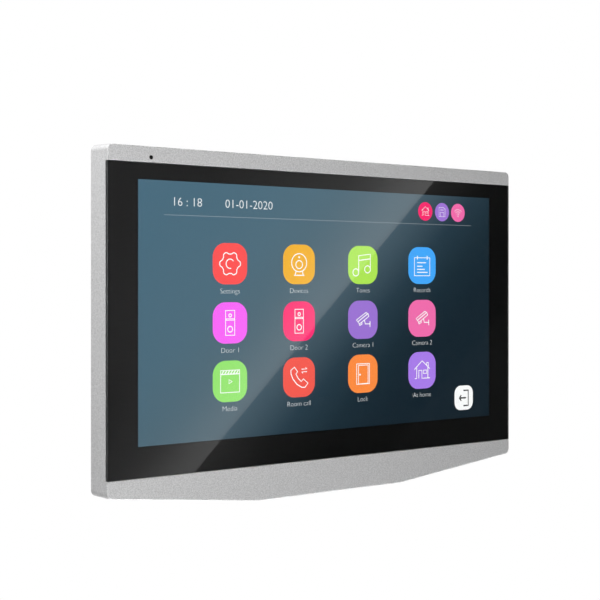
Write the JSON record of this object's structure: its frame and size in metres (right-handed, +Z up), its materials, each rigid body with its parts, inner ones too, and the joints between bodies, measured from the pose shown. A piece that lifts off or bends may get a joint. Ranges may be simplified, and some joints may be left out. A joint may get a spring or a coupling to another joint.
{
  "type": "video intercom monitor",
  "caption": "Wall-hung indoor video intercom monitor with a full-width glass touchscreen, deeper speaker chin, rear terminal bay and lift-off sheet-metal wall bracket.",
  "frame": {"origin": "centre of the wall bracket's four-screw pattern, on the wall plane", "axes": "+X to the right seen from the room, +Y into the wall, +Z up; the screen faces -Y"},
  "size_m": [0.254, 0.0185, 0.1749],
  "materials": {
    "silver_shell": "fine-grain silver metallic paint",
    "cover_glass": "polished clear glass",
    "black_print": "ceramic black print behind the glass",
    "black_tape": "black adhesive tape",
    "amber_film": "polyimide ribbon",
    "bezel_steel": "stamped stainless sheet",
    "panel_glass": "dark liquid crystal glass",
    "white_film": "translucent diffuser films",
    "clear_acrylic": "clear moulded light guide",
    "led_strip": "white strip with small lamps",
    "zinc_sheet": "zinc-plated sheet steel",
    "grey_foam": "closed-cell foam",
    "zinc_screw": "zinc-plated steel",
    "black_screw": "black oxide steel",
    "brass": "turned brass",
    "green_board": "solder-masked glass-fibre laminate",
    "black_chip": "moulded epoxy",
    "tin_shield": "tinned sheet steel",
    "radio_module": "dark blue laminate under a shield",
    "antenna_film": "black film over copper",
    "black_lead": "soft cable jacket",
    "capacitor_can": "bright aluminium can",
    "ferrite": "moulded ferrite powder",
    "cell_steel": "nickel-plated steel",
    "black_plastic": "moulded, fine texture",
    "ivory_nylon": "natural nylon",
    "rear_plastic": "black, spark-eroded texture",
    "magnet_nickel": "nickel-plated magnet",
    "soft_rubber": "moulded silicone",
    "cone_film": "thin moulded film",
    "mic_steel": "drawn aluminium can",
    "blank_silver_label": "blank satin polyester label"
  },
  "bodies": {
    "bracket": {"wall_bracket": "zinc_sheet"},
    "monitor": {"front_frame": "silver_shell", "cover_glass": "cover_glass", "glass_border": "black_print", "glass_tape": "black_tape", "touch_flex": "amber_film", "lcd_bezel": "bezel_steel", "lcd_cell": "panel_glass", "lcd_films": "white_film", "lcd_light_guide": "clear_acrylic", "lcd_led_bar": "led_strip", "lcd_back_tray": "zinc_sheet", "lcd_flex": "amber_film", "lcd_foam_pads": "grey_foam", "support_plate": "zinc_sheet", "plate_screws": "zinc_screw", "board_standoffs": "brass", "main_board": "green_board", "board_screws": "zinc_screw", "processor": "black_chip", "memory_chips": "black_chip", "shield_can": "tin_shield", "wifi_module": "radio_module", "wifi_antenna": "antenna_film", "antenna_lead": "black_lead", "board_capacitors": "capacitor_can", "power_inductors": "ferrite", "coin_cell": "cell_steel", "coin_cell_holder": "black_plastic", "flex_connectors": "ivory_nylon", "cable_headers": "ivory_nylon", "power_header": "ivory_nylon", "header_pins": "brass", "speaker_basket": "black_plastic", "speaker_magnet": "magnet_nickel", "speaker_surround": "soft_rubber", "speaker_gasket": "grey_foam", "speaker_screws": "zinc_screw", "speaker_lead": "black_lead", "mic_capsule": "mic_steel", "mic_boot": "soft_rubber", "mic_lead": "black_lead", "lead_plugs": "ivory_nylon", "side_board": "green_board", "side_board_screws": "zinc_screw", "card_socket": "tin_shield", "reset_switch": "black_plastic", "power_switch": "tin_shield", "side_board_cable": "amber_film", "rear_cover": "rear_plastic", "case_screws": "black_screw", "blank_label": "blank_silver_label"},
    "memory_card": {"memory_card": "black_chip"},
    "reset_plunger": {"reset_plunger": "ivory_nylon"},
    "power_slider": {"power_slider": "black_plastic"},
    "speaker_cone": {"speaker_cone": "cone_film"}
  },
  "joints": [
    {"name": "lift_off", "type": "slide", "parent": "bracket", "child": "monitor", "axis": [0, 0, 1], "range_m": [0, 0.0045]},
    {"name": "card_slide", "type": "slide", "parent": "monitor", "child": "memory_card", "axis": [1, 0, 0], "range_m": [-0.0006, 0.016]},
    {"name": "reset_press", "type": "slide", "parent": "monitor", "child": "reset_plunger", "axis": [-1, 0, 0], "range_m": [0, 0.00025], "stiffness_N_per_m": 1000},
    {"name": "power_slide", "type": "slide", "parent": "monitor", "child": "power_slider", "axis": [0, 0, 1], "range_m": [0, 0.002]},
    {"name": "cone_travel", "type": "slide", "parent": "monitor", "child": "speaker_cone", "axis": [0, 0, -1], "range_m": [-0.0003, 0.0003], "stiffness_N_per_m": 1000}
  ]
}
